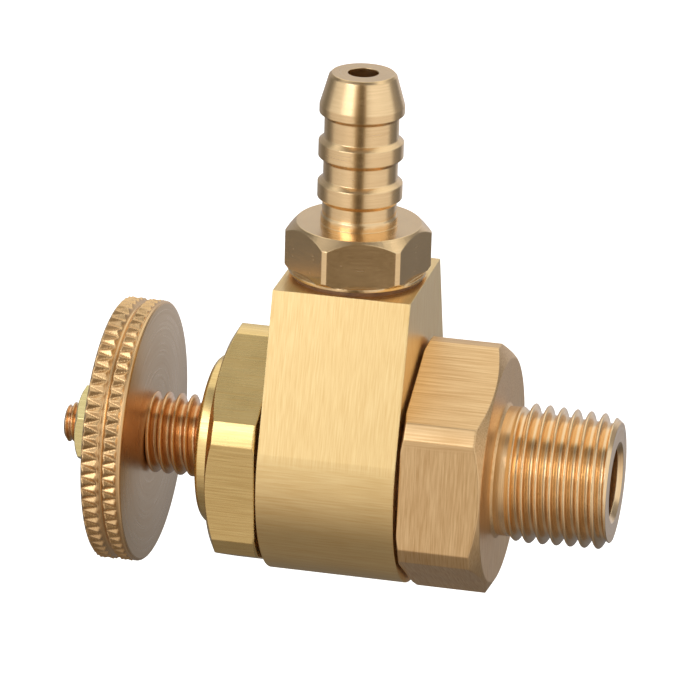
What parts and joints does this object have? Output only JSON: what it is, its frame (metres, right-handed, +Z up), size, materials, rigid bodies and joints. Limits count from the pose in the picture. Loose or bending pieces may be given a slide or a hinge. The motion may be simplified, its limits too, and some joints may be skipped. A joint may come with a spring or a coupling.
{
  "type": "needle valve",
  "caption": "Brass needle valve with a knurled handwheel on a screwed spindle, a male taper pipe thread in line and a hose barb at the side.",
  "frame": {"origin": "on the spindle's axis in the gauge plane of the male pipe thread, 6 mm in from its end face", "axes": "+X along the spindle and out of the pipe thread, +Z up the hose barb, +Y away from the side seen first"},
  "size_m": [0.0538, 0.0254, 0.0508],
  "materials": {
    "body_brass": "brushed",
    "bonnet_brass": "brushed",
    "adapter_brass": "brushed",
    "barb_brass": "turned",
    "spindle_brass": "turned",
    "handwheel_brass": "satin, knurled rim",
    "nut_brass": "polished",
    "inner_brass": "turned",
    "needle_steel": "ground",
    "spring_steel": "oiled",
    "seal_rubber": "matte",
    "ptfe": "matte",
    "gasket_fibre": "matte"
  },
  "bodies": {
    "valve": {"valve_body": "body_brass", "bonnet": "bonnet_brass", "pipe_adapter": "adapter_brass", "hose_barb": "barb_brass", "bonnet_gasket": "gasket_fibre", "adapter_gasket": "gasket_fibre", "barb_gasket": "gasket_fibre", "outer_backup_ring": "ptfe", "outer_stem_o_ring": "seal_rubber", "stem_spacer_ring": "ptfe", "inner_stem_o_ring": "seal_rubber", "gland_retainer": "inner_brass", "valve_seat": "ptfe", "seat_retainer": "inner_brass"},
    "needle": {"needle": "needle_steel"},
    "spindle": {"spindle": "spindle_brass", "spindle_clip": "spring_steel", "needle_retainer": "inner_brass", "handwheel": "handwheel_brass", "handwheel_nut": "nut_brass"}
  },
  "joints": [
    {"name": "needle_travel", "type": "slide", "parent": "valve", "child": "needle", "axis": [-1, 0, 0], "range_m": [-0.00125, 0.00187]},
    {"name": "handwheel_turn", "type": "hinge", "parent": "needle", "child": "spindle", "pos_m": [-0.0332, 0, 0], "axis": [-1, 0, 0], "range_deg": [-360, 540]}
  ],
  "couplings": [
    {"joint": "handwheel_turn", "follows": "needle_travel", "rad_per_m": 5026.5}
  ]
}
